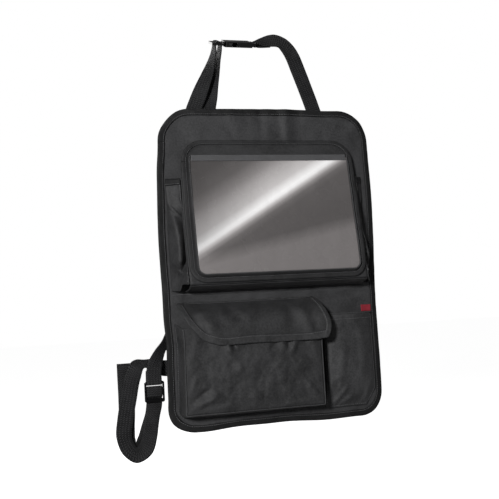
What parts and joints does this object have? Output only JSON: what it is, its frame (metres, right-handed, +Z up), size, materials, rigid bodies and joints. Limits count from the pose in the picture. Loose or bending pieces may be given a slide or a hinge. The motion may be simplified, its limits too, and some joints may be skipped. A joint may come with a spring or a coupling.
{
  "type": "car seat back organizer",
  "caption": "Hanging fabric seat back organizer with a clear tablet sleeve, a bellows pocket, a flap pocket, a slim pocket, a buckled headrest strap and a seat belt strap.",
  "frame": {"origin": "on the back of the panel, near its centre, where it lies against a seat back", "axes": "+Z up along the height of the panel, +Y out of the panel's back towards the seat, +X to the right seen from the front; the pockets face -Y"},
  "size_m": [0.4564, 0.0836, 0.6937],
  "materials": {
    "panel_cloth": "black coated polyester cloth, fine plain weave, low sheen",
    "pocket_cloth": "black coated polyester cloth, fine plain weave, low sheen",
    "binding_tape": "black woven binding tape with a line of stitching",
    "mouth_tape": "grey woven tape",
    "closure_tape": "black hook and loop tape",
    "webbing": "black ribbed polypropylene webbing",
    "clear_film": "clear glossy flexible film",
    "buckle_plastic": "black moulded plastic, light gloss",
    "label": "plain dark red woven tab"
  },
  "bodies": {
    "root": {"back_panel": "panel_cloth", "edge_binding": "binding_tape", "holder_back": "pocket_cloth", "window_frame": "binding_tape", "window_film": "clear_film", "mouth_tape": "mouth_tape", "holder_binding": "binding_tape", "bellows_front": "pocket_cloth", "bellows_left_gusset": "pocket_cloth", "bellows_right_gusset": "pocket_cloth", "bellows_foot_gusset": "pocket_cloth", "bellows_mouth_band": "binding_tape", "flap_pocket_front": "pocket_cloth", "flap_pocket_gusset": "pocket_cloth", "pocket_flap": "pocket_cloth", "flap_binding": "binding_tape", "closure_loop_tape": "closure_tape", "closure_hook_tape": "closure_tape", "slim_pocket": "pocket_cloth", "side_label": "label", "headrest_strap_adjuster": "webbing", "headrest_strap_fixed": "webbing", "buckle_tongue": "buckle_plastic", "buckle_socket": "buckle_plastic", "ladder_lock": "buckle_plastic", "belt_short_strap": "webbing", "belt_long_strap": "webbing"}
  },
  "joints": []
}
